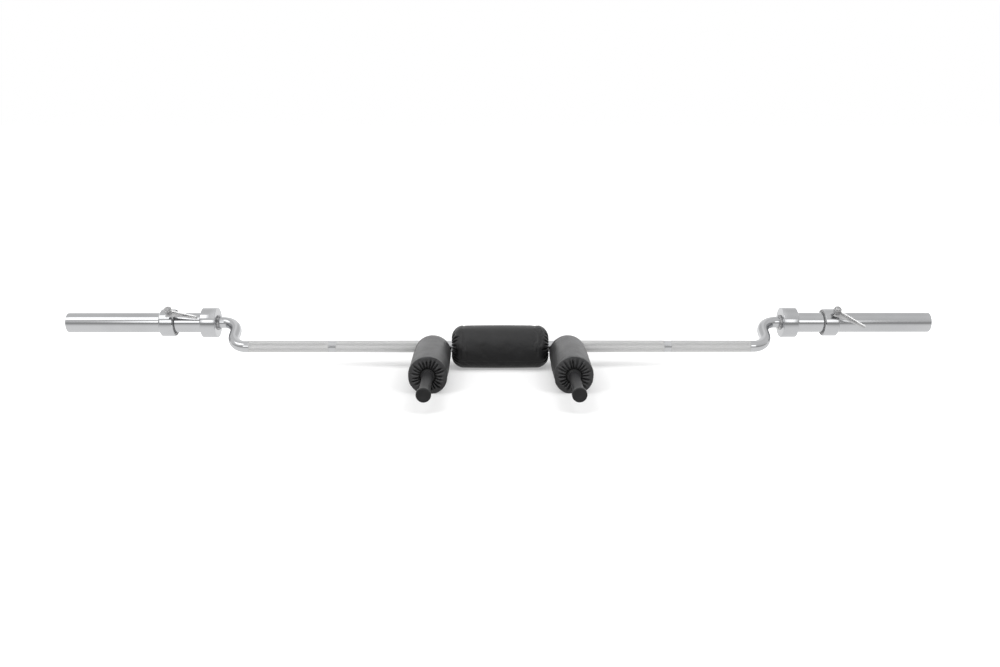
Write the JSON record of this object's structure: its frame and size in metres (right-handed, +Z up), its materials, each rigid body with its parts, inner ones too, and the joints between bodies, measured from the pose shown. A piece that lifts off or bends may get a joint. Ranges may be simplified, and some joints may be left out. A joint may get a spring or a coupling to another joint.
{
  "type": "safety squat bar",
  "caption": "Cranked chrome squat bar with a round neck pad, padded forward arms with hand grips, plate sleeves and sliding lever collars.",
  "frame": {"origin": "centre of the footprint, on the floor that the pads rest on", "axes": "+X along the bar to its right end, -Y to the front where the arms reach, +Z up"},
  "size_m": [2.134, 0.4772, 0.1406],
  "materials": {
    "chrome": "bright chrome plate",
    "weld_steel": "plated over rough weld beads",
    "cast_steel": "plated casting, satin",
    "bare_steel": "turned steel, hidden",
    "black_vinyl": "near-black sewn vinyl with a soft sheen",
    "grey_vinyl": "dark grey sewn cover, matte",
    "foam": "closed-cell foam, hidden",
    "elastic": "black elastic cord",
    "grip_rubber": "moulded rubber, satin",
    "shoe_plastic": "nylon"
  },
  "bodies": {
    "bar": {"bar_shaft": "chrome", "neck_pad_cover": "black_vinyl", "neck_pad_foam": "foam", "neck_pad_elastic_left": "elastic", "neck_pad_elastic_right": "elastic", "left_sleeve_tube": "chrome", "left_plate_flange": "chrome", "left_flange_weld": "weld_steel", "left_sleeve_spacer": "bare_steel", "left_sleeve_plug": "chrome", "left_arm": "chrome", "left_arm_weld": "weld_steel", "left_shoulder_cover": "grey_vinyl", "left_shoulder_foam": "foam", "left_shoulder_elastic_rear": "elastic", "left_shoulder_elastic_front": "elastic", "left_grip": "grip_rubber", "right_sleeve_tube": "chrome", "right_plate_flange": "chrome", "right_flange_weld": "weld_steel", "right_sleeve_spacer": "bare_steel", "right_sleeve_plug": "chrome", "right_arm": "chrome", "right_arm_weld": "weld_steel", "right_shoulder_cover": "grey_vinyl", "right_shoulder_foam": "foam", "right_shoulder_elastic_rear": "elastic", "right_shoulder_elastic_front": "elastic", "right_grip": "grip_rubber"},
    "left_collar": {"left_collar_ring": "chrome"},
    "left_shoe": {"left_collar_shoe": "shoe_plastic"},
    "left_lever": {"left_clamp_screw": "cast_steel", "left_clamp_lever": "cast_steel", "left_lever_cap": "cast_steel"},
    "right_collar": {"right_collar_ring": "chrome"},
    "right_shoe": {"right_collar_shoe": "shoe_plastic"},
    "right_lever": {"right_clamp_screw": "cast_steel", "right_clamp_lever": "cast_steel", "right_lever_cap": "cast_steel"}
  },
  "joints": [
    {"name": "left_collar_slide", "type": "slide", "parent": "bar", "child": "left_collar", "axis": [1, 0, 0], "range_m": [-0.23, 0.066]},
    {"name": "left_shoe_press", "type": "slide", "parent": "left_collar", "child": "left_shoe", "axis": [0, -0.6293, 0.7771], "range_m": [-0.0002, 0.00065]},
    {"name": "left_lever_turn", "type": "hinge", "parent": "left_shoe", "child": "left_lever", "pos_m": [-0.8095, 0.17303, 0.12797], "axis": [0, -0.6293, 0.7771], "range_deg": [-45, 150]},
    {"name": "right_collar_slide", "type": "slide", "parent": "bar", "child": "right_collar", "axis": [1, 0, 0], "range_m": [-0.066, 0.23]},
    {"name": "right_shoe_press", "type": "slide", "parent": "right_collar", "child": "right_shoe", "axis": [0, -0.6293, 0.7771], "range_m": [-0.0002, 0.00065]},
    {"name": "right_lever_turn", "type": "hinge", "parent": "right_shoe", "child": "right_lever", "pos_m": [0.8275, 0.17303, 0.12797], "axis": [0, -0.6293, 0.7771], "range_deg": [-45, 150]}
  ],
  "couplings": [
    {"joint": "left_shoe_press", "follows": "left_lever_turn", "m_per_rad": 0.00023873},
    {"joint": "right_shoe_press", "follows": "right_lever_turn", "m_per_rad": 0.00023873}
  ]
}
